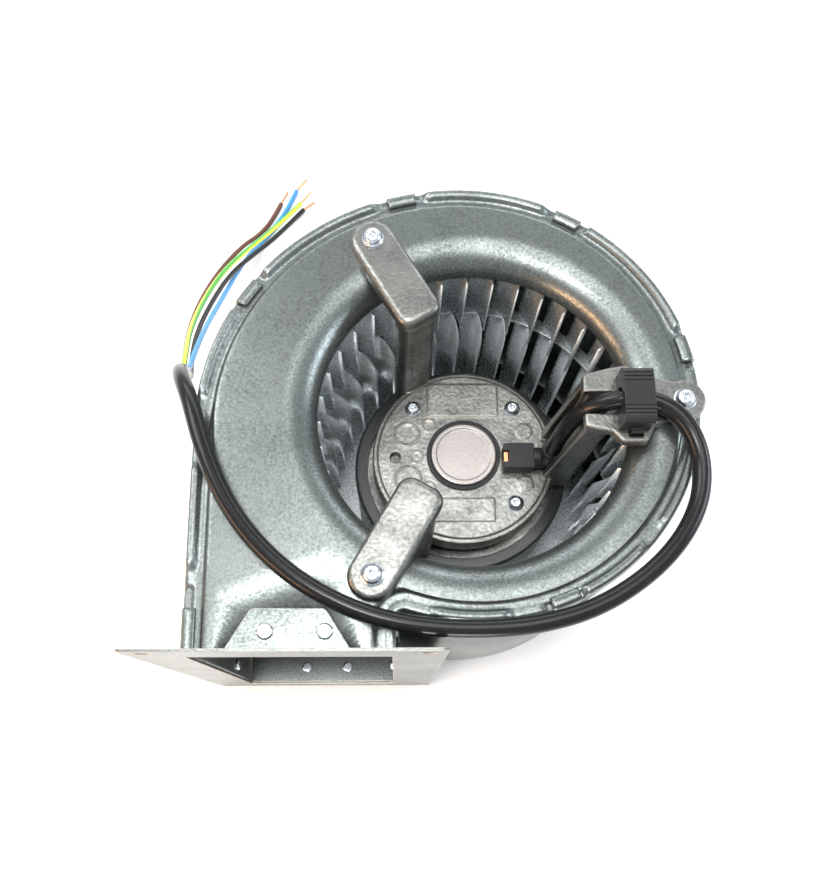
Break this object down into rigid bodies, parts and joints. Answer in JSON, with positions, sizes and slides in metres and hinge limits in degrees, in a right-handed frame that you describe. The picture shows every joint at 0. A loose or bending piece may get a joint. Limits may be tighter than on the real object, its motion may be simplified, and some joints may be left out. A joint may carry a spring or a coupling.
{
  "type": "combustion fan",
  "caption": "Single-inlet centrifugal blower with forward-curved wheel on an external-rotor motor, sheet-steel scroll, flanged outlet and flying lead.",
  "frame": {"origin": "on the fan's axis, at the outer face of the housing's back wall", "axes": "+Z along the fan's axis towards the inlet, -Y out of the outlet, +X to the side away from the outlet"},
  "size_m": [0.2107, 0.2988, 0.14],
  "materials": {
    "galvanised_steel": "satin zinc coating with a fine spangle",
    "zinc_fasteners": "bright blue zinc plate",
    "cast_aluminium": "rough die-cast skin",
    "cap_steel": "satin, lightly marked",
    "black_rubber": "matte",
    "lamination_steel": "stacked sheet edges",
    "insulator_plastic": "matte",
    "copper": "bare drawn copper",
    "bearing_steel": "ground and polished",
    "black_lacquer": "semi-gloss lacquer",
    "black_nylon": "fine moulded texture",
    "black_pvc": "soft satin",
    "core_black_pvc": "satin",
    "core_blue_pvc": "satin",
    "core_brown_pvc": "satin",
    "core_green_yellow_pvc": "green with a yellow stripe"
  },
  "bodies": {
    "housing": {"bearing_balls": "bearing_steel", "bearing_cap": "cap_steel", "bearing_outer_rings": "bearing_steel", "bracket_nuts": "zinc_fasteners", "bracket_screws": "zinc_fasteners", "cable_clip": "black_nylon", "cable_connector": "black_nylon", "cable_sheath": "black_pvc", "cap_seal_ring": "black_rubber", "connector_terminal": "copper", "core_black": "core_black_pvc", "core_blue": "core_blue_pvc", "core_brown": "core_brown_pvc", "core_green_yellow": "core_green_yellow_pvc", "flange_rivets": "zinc_fasteners", "motor_bracket": "cast_aluminium", "outlet_flange": "galvanised_steel", "preload_washer": "zinc_fasteners", "scroll_back_wall": "galvanised_steel", "scroll_band": "galvanised_steel", "scroll_front_wall": "galvanised_steel", "stator_core": "lamination_steel", "stator_insulators": "insulator_plastic", "stator_leads": "copper", "stator_screws": "zinc_fasteners", "stator_windings": "copper", "wire_end_black": "copper", "wire_end_blue": "copper", "wire_end_brown": "copper", "wire_end_green_yellow": "copper"},
    "wheel": {"rotor_shaft": "bearing_steel", "shaft_retaining_ring": "zinc_fasteners", "bearing_inner_rings": "bearing_steel", "rotor_can": "black_lacquer", "rotor_core": "lamination_steel", "rotor_end_rings": "cast_aluminium", "hub_rivets": "zinc_fasteners", "wheel_back_disc": "galvanised_steel", "wheel_rear_blades": "galvanised_steel", "wheel_mid_ring": "galvanised_steel", "wheel_front_blades": "galvanised_steel", "wheel_front_ring": "galvanised_steel"}
  },
  "joints": [
    {"name": "wheel_spin", "type": "hinge", "parent": "housing", "child": "wheel", "pos_m": [0, 0, 0.06], "axis": [0, 0, 1], "continuous": true}
  ]
}
